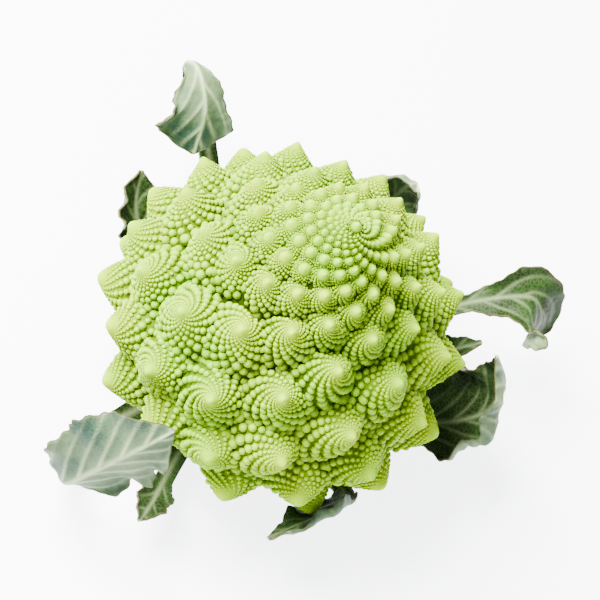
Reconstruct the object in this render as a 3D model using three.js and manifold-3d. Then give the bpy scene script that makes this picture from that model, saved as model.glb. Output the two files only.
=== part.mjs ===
// Head of romanesco with the wrapper leaves that stayed on it, standing on its cut stump.
// Millimetres, +Z up along the head, origin at the centre of the stump's cut face.
// Azimuths are counted from +X towards +Y.
import * as THREE from 'three';
import { mergeVertices } from 'three/addons/utils/BufferGeometryUtils.js';
import Module from 'manifold-3d';

const { degToRad, lerp, smoothstep } = THREE.MathUtils;

// Crown: the surface of revolution that the floret tips lie on
const APEX_HEIGHT = 165;
const TOP_SLOPE = degToRad(38);
const RIM_SLOPE = degToRad(104);
const RIM_DISTANCE = 155; // along the flank from the apex
const SHOULDER_POWER = 2.6; // how late the flank steepens
const FLANK_STEP = 0.5;
const BODY_OFFSET = { reach: 7, azimuth: degToRad(47) }; // of the body's middle from the apex
const OFFSET_DISTANCE = 80; // along the flank, where the whole offset is reached

// Florets: a golden-angle spiral of cones, each in its own six-sided cell
const GOLDEN_ANGLE = degToRad(-137.58); // the spiral winds towards smaller azimuths
const INNERMOST_FLORET = 5; // along the flank from the apex
const LAST_FLORET = 165; // the same way
const FRONT_FLORET = { distance: 81.8, azimuth: degToRad(-70.4) };
const SPACING_SHARE = 0.269; // of the distance from the apex
const SPACING_GAIN = 0.0022; // growth of that share in each mm
const WIDEST_SPACING = 34;
const CELL_AREA_SHARE = 0.866; // of the spacing squared
const ONWARD_STEP = 5; // florets from one to the next on the rows that wind towards larger azimuths
const BACKWARD_STEP = 8; // and on the rows that wind the other way
const BOTH_STEPS = ONWARD_STEP + BACKWARD_STEP;
const FLORET_LEAN = degToRad(12); // towards the apex
const CONE_STEEPNESS = 1.25; // depth below the tip for each mm away from the floret's axis
const DEEPEST_PIT = 0.8; // of the spacing
const TIP_ROUNDING = 0.02; // of the spacing

// Rows of buds around a floret, from its foot to its tip, by the floret's spacing.
// A row is a count of points and its place as a share of the way from the tip to the edge of the cell.
const BUD_ROWS = [
  { upTo: 5, rows: [] },
  { upTo: 11, rows: [[6, 0.5]] },
  { upTo: 16, rows: [[12, 0.68], [6, 0.34]] },
  { upTo: 22, rows: [[12, 0.8], [12, 0.53], [6, 0.26]] },
  { upTo: Infinity, rows: [[12, 0.84], [12, 0.64], [12, 0.42], [6, 0.2]] },
];
const BUD_RELIEF = 0.035; // of the spacing

// Underside and stump
const STEM_RADIUS = 29;
const STEM_TOP = 27;
const CUT_RADIUS = 26;
const CUT_BEVEL = 1;
const STEM_SIDES = 32;
const SEAM = 0.3; // gap between two pieces that grow from each other

// Wrapper leaves. The midrib passes through points of azimuth, distance from the axis and height.
// Petiole gives the share of the midrib before the blade starts. The blade reaches its whole width at the
// share of its length called fullest, and lean gives more of it to the side with the larger azimuth.
// Cup lifts both margins towards the upper side and wave ruffles them.
const LEAVES = [
  {
    name: 'leaf_front_left',
    midrib: [[-112, 20, 10], [-111, 55, 10], [-107, 90, 15], [-101, 104, 28], [-98, 101, 48], [-94, 92, 69],
      [-90, 82, 85]],
    petiole: 0.54,
    width: 46,
    fullest: 0.5,
    lean: 0,
    cup: 0.22,
    wave: 0.16,
    waves: 2.5,
    phase: 0.4,
  },
  {
    name: 'leaf_front_small',
    midrib: [[-80, 20, 9], [-80, 55, 9], [-80, 78, 15], [-81, 94, 26]],
    petiole: 0.55,
    width: 15,
    fullest: 0.4,
    lean: 0,
    cup: 0.3,
    wave: 0.1,
    waves: 1.5,
    phase: 2,
  },
  {
    name: 'leaf_front_right',
    midrib: [[-8, 20, 10], [-8, 50, 10], [-9, 73, 18], [-21, 79, 31], [-35, 82, 36], [-46, 87, 34]],
    petiole: 0.38,
    width: 21,
    fullest: 0.6,
    lean: 0,
    cup: 0.1,
    wave: 0.22,
    waves: 2.5,
    phase: 1,
  },
  {
    name: 'leaf_right_low',
    midrib: [[27, 20, 10], [27, 60, 11], [28, 96, 20], [30, 113, 38], [33, 112, 56], [36, 103, 69]],
    petiole: 0.42,
    width: 46,
    fullest: 0.4,
    lean: 0,
    cup: 0.3,
    wave: 0.16,
    waves: 2,
    phase: 2.5,
  },
  {
    name: 'leaf_right_small',
    midrib: [[43, 20, 19], [44, 55, 20], [45, 84, 29], [44, 105, 52]],
    petiole: 0.6,
    width: 14,
    fullest: 0.4,
    lean: 0,
    cup: 0.3,
    wave: 0.1,
    waves: 1.5,
    phase: 0,
  },
  {
    name: 'leaf_right',
    midrib: [[63, 20, 9], [62, 60, 12], [58, 100, 32], [56, 121, 45], [54, 138, 49], [51, 144, 41],
      [48, 140, 27]],
    petiole: 0.5,
    width: 38,
    fullest: 0.75,
    lean: -0.2,
    cup: 0.2,
    wave: 0.16,
    waves: 2.5,
    phase: 0.5,
  },
  {
    name: 'leaf_back_right',
    midrib: [[93, 20, 10], [91, 60, 12], [88, 94, 26], [88, 108, 42], [87, 106, 60], [84, 96, 72]],
    petiole: 0.48,
    width: 26,
    fullest: 0.45,
    lean: 0,
    cup: 0.3,
    wave: 0.14,
    waves: 2,
    phase: 1.5,
  },
  {
    name: 'leaf_back_left',
    midrib: [[134, 20, 10], [134, 60, 12], [137, 102, 27], [142, 122, 45], [144, 127, 56], [144, 121, 64],
      [143, 107, 57], [144, 94, 37]],
    petiole: 0.58,
    width: 36,
    fullest: 0.8,
    lean: 0.2,
    cup: 0.2,
    wave: 0.16,
    waves: 2.5,
    phase: 0.8,
  },
  {
    name: 'leaf_left_small',
    midrib: [[168, 20, 10], [168, 58, 12], [164, 82, 23], [160, 93, 34]],
    petiole: 0.5,
    width: 26,
    fullest: 0.45,
    lean: 0,
    cup: 0.3,
    wave: 0.25,
    waves: 2.5,
    phase: 0,
  },
];
const LEAF_STATIONS = 15;
const LEAF_STRIPS = 6;
const BLADE_THICKNESS = 1.1;
const RIB_THICKNESS = 2.4; // more than the blade, at the foot of the blade
const RIB_HALF_WIDTH = 3.5;
const PETIOLE_HALF_WIDTH = 4.2;
const PETIOLE_BASE_HALF_WIDTH = 6.5;
const PETIOLE_THICKNESS = 5;
const TIP_HALF_WIDTH = 1.2;
const BLADE_FULLNESS = 0.8;
const LOBE_RELIEF = 0.1;
const LOBES = 4;

const LIME = 0xbcd968;
const STEM_GREEN = 0xc9d6a0;
const LEAF_GREEN = 0x6f9070;

const wasm = await Module();
wasm.setup();

function flankSlope(distance) {
  return TOP_SLOPE + (RIM_SLOPE - TOP_SLOPE) * (distance / RIM_DISTANCE) ** SHOULDER_POWER;
}

// Radius and drop below the apex, summed along the flank
function flankTable() {
  const table = [{ radius: 0, drop: 0 }];
  while (flankSlope(table.length * FLANK_STEP) < Math.PI) {
    const slope = flankSlope((table.length - 0.5) * FLANK_STEP);
    const { radius, drop } = table.at(-1);
    table.push({
      radius: radius + FLANK_STEP * Math.cos(slope),
      drop: drop + FLANK_STEP * Math.sin(slope),
    });
  }
  return table;
}

const FLANK = flankTable();

function flankAt(distance) {
  const row = Math.floor(distance / FLANK_STEP);
  const share = distance / FLANK_STEP - row;
  return {
    radius: lerp(FLANK[row].radius, FLANK[row + 1].radius, share),
    drop: lerp(FLANK[row].drop, FLANK[row + 1].drop, share),
  };
}

function spacingAt(distance) {
  return Math.min(distance * (SPACING_SHARE + SPACING_GAIN * distance), WIDEST_SPACING);
}

// A point below the crown's surface, counted along the axis of the floret there
function crownPoint({ distance, azimuth }, depth) {
  const { radius, drop } = flankAt(distance);
  const axisSlope = flankSlope(distance) - FLORET_LEAN;
  const reach = radius - depth * Math.sin(axisSlope);
  const offset = BODY_OFFSET.reach * smoothstep(distance, 0, OFFSET_DISTANCE);
  return new THREE.Vector3(
    reach * Math.cos(azimuth) + offset * Math.cos(BODY_OFFSET.azimuth),
    reach * Math.sin(azimuth) + offset * Math.sin(BODY_OFFSET.azimuth),
    APEX_HEIGHT - drop - depth * Math.cos(axisSlope),
  );
}

// Distance along the flank from one floret to the next: each cell takes the area that its spacing asks for
function rise(distance) {
  return CELL_AREA_SHARE * spacingAt(distance) ** 2 / (2 * Math.PI * flankAt(distance).radius);
}

// The spiral's florets from the middle outwards, with a few more at both ends that only bound the others
function spiral() {
  const distances = [FRONT_FLORET.distance];
  let extra = 0;
  while (extra < BOTH_STEPS) {
    distances.unshift(distances[0] - rise(distances[0]));
    extra += distances[0] < INNERMOST_FLORET ? 1 : 0;
  }
  const front = distances.length - 1;
  extra = 0;
  while (extra <= BOTH_STEPS) {
    extra += distances.at(-1) > LAST_FLORET ? 1 : 0;
    distances.push(distances.at(-1) + rise(distances.at(-1)));
  }
  return { distances, front };
}

const SPIRAL = spiral();

function distanceAt(index) {
  const whole = Math.floor(index);
  return lerp(SPIRAL.distances[whole], SPIRAL.distances[whole + 1], index - whole);
}

// Turn between two florets some steps apart on the spiral, the short way round
function turnOver(steps) {
  const turn = steps * GOLDEN_ANGLE;
  return turn - 2 * Math.PI * Math.round(turn / (2 * Math.PI));
}

const ONWARD_TURN = turnOver(ONWARD_STEP);
const BACKWARD_TURN = turnOver(BACKWARD_STEP);

// A place on the crown counted from a floret, in steps along the two families of spirals
function spiralPlace(floret, onward, backward) {
  const azimuth = FRONT_FLORET.azimuth + (floret - SPIRAL.front) * GOLDEN_ANGLE;
  return {
    distance: distanceAt(floret + ONWARD_STEP * onward + BACKWARD_STEP * backward),
    azimuth: azimuth + onward * ONWARD_TURN + backward * BACKWARD_TURN,
  };
}

// Points of a cell's outline: saddles and pits, each with the tips of the florets round it
const CELL_POINTS = {
  onwardSaddle: { onward: 1 / 2, backward: 0, tips: [[0, 0], [1, 0]] },
  onwardPit: { onward: 2 / 3, backward: 1 / 3, tips: [[0, 0], [1, 0], [1, 1]] },
  bothSaddle: { onward: 1 / 2, backward: 1 / 2, tips: [[0, 0], [1, 1]] },
  backwardPit: { onward: 1 / 3, backward: 2 / 3, tips: [[0, 0], [0, 1], [1, 1]] },
  backwardSaddle: { onward: 0, backward: 1 / 2, tips: [[0, 0], [0, 1]] },
};
// The outline in order round a cell. A point belongs to the cell that lies the given steps back.
const CELL_OUTLINE = [
  { point: 'onwardSaddle', back: [0, 0] },
  { point: 'backwardPit', back: [0, 1] },
  { point: 'backwardSaddle', back: [0, 1] },
  { point: 'onwardPit', back: [1, 1] },
  { point: 'bothSaddle', back: [1, 1] },
  { point: 'backwardPit', back: [1, 1] },
  { point: 'onwardSaddle', back: [1, 0] },
  { point: 'onwardPit', back: [1, 0] },
  { point: 'backwardSaddle', back: [0, 0] },
  { point: 'backwardPit', back: [0, 0] },
  { point: 'bothSaddle', back: [0, 0] },
  { point: 'onwardPit', back: [0, 0] },
];

// A closed mesh that is put together from shared vertices
class MeshBuilder {
  constructor() {
    this.positions = [];
    this.triangles = [];
    this.named = new Map();
  }

  add(point) {
    this.positions.push(point);
    return this.positions.length - 1;
  }

  addNamed(name, makePoint) {
    if (!this.named.has(name)) {
      this.named.set(name, this.add(makePoint()));
    }
    return this.named.get(name);
  }

  face(a, b, c) {
    this.triangles.push([a, b, c]);
  }

  // Band between two closed rings; the outer one has as many points as the inner one, or twice as many
  band(outer, inner) {
    const ratio = outer.length / inner.length;
    inner.forEach((start, i) => {
      const end = inner[(i + 1) % inner.length];
      const foot = i * ratio;
      this.face(outer[foot], outer[foot + 1] ?? outer[0], start);
      if (ratio === 2) {
        this.face(outer[foot + 1], outer[(foot + 2) % outer.length], end);
      }
      this.face(outer[(foot + 1) % outer.length], end, start);
    });
  }

  fan(ring, centre) {
    ring.forEach((start, i) => this.face(start, ring[(i + 1) % ring.length], centre));
  }

  // Rings of edges that have a face on one side only, each in the order of the faces that close it
  openRings() {
    const edges = new Set(this.triangles.flatMap(([a, b, c]) => [`${a},${b}`, `${b},${c}`, `${c},${a}`]));
    const after = new Map();
    edges.forEach((edge) => {
      const [from, to] = edge.split(',').map(Number);
      if (!edges.has(`${to},${from}`)) {
        after.set(to, from);
      }
    });
    const rings = [];
    while (after.size > 0) {
      const ring = [];
      let vertex = after.keys().next().value;
      while (after.has(vertex)) {
        ring.push(vertex);
        const following = after.get(vertex);
        after.delete(vertex);
        vertex = following;
      }
      rings.push(ring);
    }
    return rings;
  }

  geometry() {
    const geometry = new THREE.BufferGeometry();
    const coordinates = this.positions.flatMap((point) => point.toArray());
    geometry.setAttribute('position', new THREE.Float32BufferAttribute(coordinates, 3));
    geometry.setIndex(this.triangles.flat());
    return geometry;
  }
}

// Distance over the crown between two near places
function flankDistance(a, b) {
  const { radius } = flankAt((a.distance + b.distance) / 2);
  return Math.hypot(a.distance - b.distance, radius * (a.azimuth - b.azimuth));
}

// Depth of a saddle or pit below the tips round it, as a share of the spacing
function depthAmong(owner, place, tips) {
  const reaches = tips.map((steps) => flankDistance(place, spiralPlace(owner, ...steps)));
  const reach = reaches.reduce((sum, each) => sum + each, 0) / reaches.length;
  return Math.min(CONE_STEEPNESS * reach / spacingAt(place.distance), DEEPEST_PIT);
}

function cellOutline(mesh, floret) {
  return CELL_OUTLINE.map(({ point, back: [ownerOnward, ownerBackward] }) => {
    const owner = floret - ONWARD_STEP * ownerOnward - BACKWARD_STEP * ownerBackward;
    const { onward, backward, tips } = CELL_POINTS[point];
    const place = spiralPlace(owner, onward, backward);
    const depth = depthAmong(owner, place, tips);
    const depthHere = depth * spacingAt(place.distance);
    const vertex = mesh.addNamed(`${point} ${owner}`, () => crownPoint(place, depthHere));
    return { vertex, depth, onward: onward - ownerOnward, backward: backward - ownerBackward };
  });
}

// One row of points round a floret: buds and the grooves between them, turned by one from row to row
function budRow(mesh, floret, outline, [count, share], row) {
  const spacing = spacingAt(SPIRAL.distances[floret]);
  const step = outline.length / count;
  return Array.from({ length: count }, (_, i) => {
    const { depth, onward, backward } = outline[i * step];
    const relief = count < outline.length ? 0 : BUD_RELIEF * (-1) ** (i + row);
    const place = spiralPlace(floret, share * onward, share * backward);
    return mesh.add(crownPoint(place, (lerp(TIP_ROUNDING, depth, share) - relief) * spacing));
  });
}

function addFloret(mesh, floret) {
  const outline = cellOutline(mesh, floret);
  const spacing = spacingAt(SPIRAL.distances[floret]);
  const { rows } = BUD_ROWS.find(({ upTo }) => spacing < upTo);
  let ring = outline.map(({ vertex }) => vertex);
  rows.forEach((row, i) => {
    const next = budRow(mesh, floret, outline, row, i);
    mesh.band(ring, next);
    ring = next;
  });
  mesh.fan(ring, mesh.add(crownPoint(spiralPlace(floret, 0, 0), 0)));
}

// The points of a ring, drawn in part of the way to the stem
function ringInwards(mesh, ring, share, height) {
  return ring.map((vertex) => {
    const { x, y } = mesh.positions[vertex];
    const radius = Math.hypot(x, y);
    const pull = lerp(radius, STEM_RADIUS, share) / radius;
    return mesh.add(new THREE.Vector3(x * pull, y * pull, height));
  });
}

function closeUnderside(mesh, rim) {
  const rimHeight = rim.reduce((sum, vertex) => sum + mesh.positions[vertex].z, 0) / rim.length;
  const shoulder = ringInwards(mesh, rim, 0.5, lerp(rimHeight, STEM_TOP, 0.6));
  const foot = ringInwards(mesh, shoulder, 1, STEM_TOP + SEAM);
  mesh.band(rim, shoulder);
  mesh.band(shoulder, foot);
  mesh.fan(foot, mesh.add(new THREE.Vector3(0, 0, STEM_TOP + SEAM)));
}

function headGeometry() {
  const mesh = new MeshBuilder();
  const last = SPIRAL.distances.length - 1 - BOTH_STEPS;
  for (let floret = BOTH_STEPS; floret < last; floret += 1) {
    addFloret(mesh, floret);
  }
  const [top, rim] = mesh.openRings().sort((a, b) => mesh.positions[b[0]].z - mesh.positions[a[0]].z);
  mesh.fan(top, mesh.add(new THREE.Vector3(0, 0, APEX_HEIGHT)));
  closeUnderside(mesh, rim);
  return mesh.geometry();
}

function stumpGeometry(growth = 0) {
  const profile = [
    [0, -growth],
    [CUT_RADIUS + growth - CUT_BEVEL, -growth],
    [CUT_RADIUS + growth, CUT_BEVEL],
    [lerp(CUT_RADIUS, STEM_RADIUS, 0.6) + growth, 0.5 * STEM_TOP],
    [STEM_RADIUS + growth, STEM_TOP + growth],
    [0, STEM_TOP + growth],
  ].map(([x, y]) => new THREE.Vector2(x, y));
  return new THREE.LatheGeometry(profile, STEM_SIDES).rotateX(Math.PI / 2);
}

function solidOf(geometry) {
  const bare = new THREE.BufferGeometry();
  bare.setAttribute('position', geometry.getAttribute('position'));
  bare.setIndex(geometry.getIndex());
  const merged = mergeVertices(bare, 1e-4);
  return new wasm.Manifold(new wasm.Mesh({
    numProp: 3,
    vertProperties: Float32Array.from(merged.getAttribute('position').array),
    triVerts: Uint32Array.from(merged.getIndex().array),
  }));
}

function geometryOf(solid) {
  const { vertProperties, triVerts } = solid.getMesh();
  const geometry = new THREE.BufferGeometry();
  geometry.setAttribute('position', new THREE.BufferAttribute(vertProperties, 3));
  geometry.setIndex(new THREE.BufferAttribute(triVerts, 1));
  return geometry;
}

// Midrib points with the directions across the blade and towards its upper side, carried along the rib
function ribFrames({ midrib }) {
  const curve = new THREE.CatmullRomCurve3(midrib.map(([azimuth, reach, height]) => {
    const angle = degToRad(azimuth);
    return new THREE.Vector3(reach * Math.cos(angle), reach * Math.sin(angle), height);
  }));
  let previous = curve.getTangentAt(0);
  let upper = new THREE.Vector3(0, 0, 1).addScaledVector(previous, -previous.z).normalize();
  return Array.from({ length: LEAF_STATIONS + 1 }, (_, i) => {
    const along = i / LEAF_STATIONS;
    const tangent = curve.getTangentAt(along);
    const turn = new THREE.Quaternion().setFromUnitVectors(previous, tangent);
    upper = upper.clone().applyQuaternion(turn);
    previous = tangent;
    return { along, point: curve.getPointAt(along), upper, across: upper.clone().cross(tangent) };
  });
}

// Half the width of a leaf: a petiole that widens at its base, then a lobed blade that narrows to its tip
function halfWidth({ petiole, width, fullest }, along) {
  if (along < petiole) {
    return lerp(PETIOLE_BASE_HALF_WIDTH, PETIOLE_HALF_WIDTH, smoothstep(along, 0, 0.6 * petiole));
  }
  const share = (along - petiole) / (1 - petiole);
  const skewed = share ** (Math.log(0.5) / Math.log(fullest));
  const blade = width / 2 * Math.sin(Math.PI * skewed) ** BLADE_FULLNESS;
  const lobed = blade * (1 + LOBE_RELIEF * Math.sin(2 * Math.PI * LOBES * share));
  return Math.max(lobed, lerp(PETIOLE_HALF_WIDTH, TIP_HALF_WIDTH, share));
}

function leafThickness({ petiole }, along, lateral) {
  const rib = Math.exp(-((lateral / RIB_HALF_WIDTH) ** 2));
  const share = Math.max(0, (along - petiole) / (1 - petiole));
  const blade = BLADE_THICKNESS + RIB_THICKNESS * (1 - share) * rib;
  const stalk = PETIOLE_THICKNESS * (0.45 + 0.55 * rib);
  return lerp(stalk, blade, smoothstep(along, 0.75 * petiole, 1.1 * petiole));
}

// Rows of vertices on one face of a leaf; the lower face lies its thickness below the upper one
function leafFace(mesh, leaf, lower) {
  return ribFrames(leaf).map(({ along, point, upper, across }) => {
    const half = halfWidth(leaf, along);
    const bladeShare = smoothstep(along, leaf.petiole, leaf.petiole + 0.2);
    return Array.from({ length: LEAF_STRIPS + 1 }, (_, j) => {
      const side = 2 * j / LEAF_STRIPS - 1;
      const lateral = half * side * (1 + leaf.lean * Math.sign(side) * bladeShare);
      const ruffle = Math.sin(2 * Math.PI * leaf.waves * along + leaf.phase + (side > 0 ? 2 : 0));
      const lift = Math.abs(lateral * side) * (leaf.cup + leaf.wave * ruffle * bladeShare);
      const thickness = lower ? leafThickness(leaf, along, lateral) : 0;
      const place = point.clone().addScaledVector(across, lateral);
      return mesh.add(place.addScaledVector(upper, lift - thickness));
    });
  });
}

// A thin closed body between two grids of vertices, split into triangles alike on both
function addSheet(mesh, top, bottom) {
  for (let i = 0; i < top.length - 1; i += 1) {
    for (let j = 0; j < top[i].length - 1; j += 1) {
      mesh.face(top[i][j], top[i + 1][j], top[i + 1][j + 1]);
      mesh.face(top[i][j], top[i + 1][j + 1], top[i][j + 1]);
      mesh.face(bottom[i][j], bottom[i + 1][j + 1], bottom[i + 1][j]);
      mesh.face(bottom[i][j], bottom[i][j + 1], bottom[i + 1][j + 1]);
    }
  }
  const rim = (grid) => [
    ...grid.map((row) => row[0]),
    ...grid.at(-1).slice(1),
    ...grid.slice(0, -1).reverse().map((row) => row.at(-1)),
    ...grid[0].slice(1, -1).reverse(),
  ];
  mesh.band(rim(bottom), rim(top));
}

function leafGeometry(leaf) {
  const mesh = new MeshBuilder();
  addSheet(mesh, leafFace(mesh, leaf, false), leafFace(mesh, leaf, true));
  const whole = solidOf(mesh.geometry());
  return geometryOf(whole.subtract(solidOf(stumpGeometry(SEAM))));
}

function material(color, roughness) {
  return new THREE.MeshStandardMaterial({ color, roughness, metalness: 0 });
}

function part(name, geometry, finish) {
  const mesh = new THREE.Mesh(geometry, finish);
  mesh.name = name;
  return mesh;
}

const romanesco = new THREE.Group();
romanesco.add(part('head', headGeometry(), material(LIME, 0.55)));
romanesco.add(part('stump', stumpGeometry(), material(STEM_GREEN, 0.6)));
LEAVES.forEach((leaf) => romanesco.add(part(leaf.name, leafGeometry(leaf), material(LEAF_GREEN, 0.5))));

export default romanesco;
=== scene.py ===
"""Studio picture of a romanesco head: florets of beads in spirals, leaves and the cut stump."""

import logging
import math
from dataclasses import dataclass, field, fields, replace
from enum import Enum

import bpy
import numpy as np
from mathutils import Matrix, Vector


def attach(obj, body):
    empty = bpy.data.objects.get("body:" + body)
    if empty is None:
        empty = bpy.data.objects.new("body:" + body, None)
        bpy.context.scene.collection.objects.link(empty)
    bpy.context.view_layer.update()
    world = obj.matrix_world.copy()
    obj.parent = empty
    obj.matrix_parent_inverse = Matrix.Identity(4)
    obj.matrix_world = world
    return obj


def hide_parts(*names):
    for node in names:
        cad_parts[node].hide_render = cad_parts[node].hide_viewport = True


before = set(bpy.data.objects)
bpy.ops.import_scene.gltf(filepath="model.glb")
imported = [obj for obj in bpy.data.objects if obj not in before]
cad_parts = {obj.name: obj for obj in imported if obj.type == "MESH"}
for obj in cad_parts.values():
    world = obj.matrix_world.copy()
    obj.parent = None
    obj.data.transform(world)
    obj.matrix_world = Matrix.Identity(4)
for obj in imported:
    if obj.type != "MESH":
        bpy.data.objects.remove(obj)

LOG = logging.getLogger("romanesco")
MM = 0.001
GOLDEN_ANGLE = math.radians(137.58)
CELL_AREA_SHARE = 0.866
RIB_COUNT = 13
RING_TURN = 0.5
Colour = Triple = tuple[float, float, float]
Values = np.ndarray | float


def polar(azimuth: float, reach: float, height: float) -> np.ndarray:
    """Turns an azimuth, a distance from the axis and a height into a point.

    Args:
        azimuth: Angle from +X towards +Y, in degrees.
        reach: Distance from the axis, in millimetres.
        height: Height above the cut face, in millimetres.

    Returns:
        The point, in metres.
    """
    angle = math.radians(azimuth)
    return np.array([reach * math.cos(angle), reach * math.sin(angle), height]) * MM


def unit(vectors: np.ndarray) -> np.ndarray:
    """Scales vectors along the last axis to length one."""
    return vectors / np.linalg.norm(vectors, axis=-1, keepdims=True)


def smoothstep(value: Values, low: float, high: float) -> Values:
    """Rises smoothly from 0 at low to 1 at high."""
    share = np.clip((value - low) / (high - low), 0.0, 1.0)
    return share * share * (3.0 - 2.0 * share)


def mix(start: Values, end: Values, share: Values) -> Values:
    """Blends linearly from start to end."""
    return start + (end - start) * share


def add_object(name: str, data: bpy.types.ID) -> bpy.types.Object:
    """Adds an object with its data to the scene.

    Args:
        name: The object's name.
        data: Its mesh, light or camera.

    Returns:
        The object.
    """
    made = bpy.data.objects.new(name, data)
    bpy.context.scene.collection.objects.link(made)
    return made


def round_angles(sides: int) -> np.ndarray:
    """Evenly spaced angles round a circle, in radians."""
    return np.arange(sides) * 2 * math.pi / sides


def closed_tube(rings: int, sides: int) -> np.ndarray:
    """Joins rings of points into a closed body.

    Args:
        rings: How many rings there are, counted from the foot; their points come first.
        sides: Points in each ring. After the rings come the point that closes the foot and the
            one that closes the top.

    Returns:
        Its triangles.
    """
    near = np.arange(sides)
    far = np.roll(near, -1)
    lows = (np.arange(rings - 1) * sides)[:, None]
    first, second = (lows + near).ravel(), (lows + far).ravel()
    last = (rings - 1) * sides
    foot, top = np.full(sides, rings * sides), np.full(sides, rings * sides + 1)
    return np.concatenate([
        np.stack([first, second, second + sides], axis=1),
        np.stack([first, second + sides, first + sides], axis=1),
        np.stack([far, near, foot], axis=1),
        np.stack([last + near, last + far, top], axis=1),
    ])


@dataclass
class MeshParts:
    """Vertices, faces and per-vertex values that are gathered before they become one mesh."""

    points: list[np.ndarray] = field(default_factory=list)
    triangles: list[np.ndarray] = field(default_factory=list)
    values: list[dict[str, np.ndarray]] = field(default_factory=list)
    count: int = 0

    def add(self, points: np.ndarray, triangles: np.ndarray, **values: np.ndarray) -> None:
        """Adds a batch.

        Args:
            points: Points, one row each, in metres.
            triangles: Three point numbers in each row, counted within this batch.
            **values: One number for each point, by the name of the attribute.
        """
        self.points.append(points.reshape(-1, 3))
        self.triangles.append(triangles.reshape(-1, 3) + self.count)
        flat = {name: np.asarray(value, float).ravel() for name, value in values.items()}
        self.values.append(flat)
        self.count += len(self.points[-1])

    def make_object(self, name: str) -> bpy.types.Object:
        """Makes one smooth-shaded object of everything that was added.

        Args:
            name: The object's name.

        Returns:
            The new object, linked to the scene.
        """
        points = np.concatenate(self.points).astype(np.float32)
        corners = np.concatenate(self.triangles).astype(np.int32)
        mesh = bpy.data.meshes.new(name)
        mesh.vertices.add(len(points))
        mesh.vertices.foreach_set("co", points.ravel())
        mesh.loops.add(corners.size)
        mesh.loops.foreach_set("vertex_index", corners.ravel())
        mesh.polygons.add(len(corners))
        mesh.polygons.foreach_set("loop_start", np.arange(0, corners.size, 3, dtype=np.int32))
        for attribute in self.values[0]:
            data = np.concatenate([value[attribute] for value in self.values]).astype(np.float32)
            mesh.attributes.new(attribute, "FLOAT", "POINT").data.foreach_set("value", data)
        mesh.update(calc_edges=True)
        mesh.shade_smooth()
        return add_object(name, mesh)


class Slot(Enum):
    """Names of the finishes: curd, stem and leaf."""

    CURD = "curd"
    STEM = "stem"
    LEAF = "leaf"


def place_piece(
    piece: bpy.types.Object, node: str, material: bpy.types.Material
) -> None:
    """Dresses a piece and lets it stand for a node of the model.

    Args:
        piece: The finished piece.
        node: Name of the node that it replaces.
        material: Its material.
    """
    piece.data.materials.append(material)
    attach(piece, "root")
    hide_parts(node)
    LOG.info("%s: %d triangles", piece.name, len(piece.data.polygons))


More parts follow.
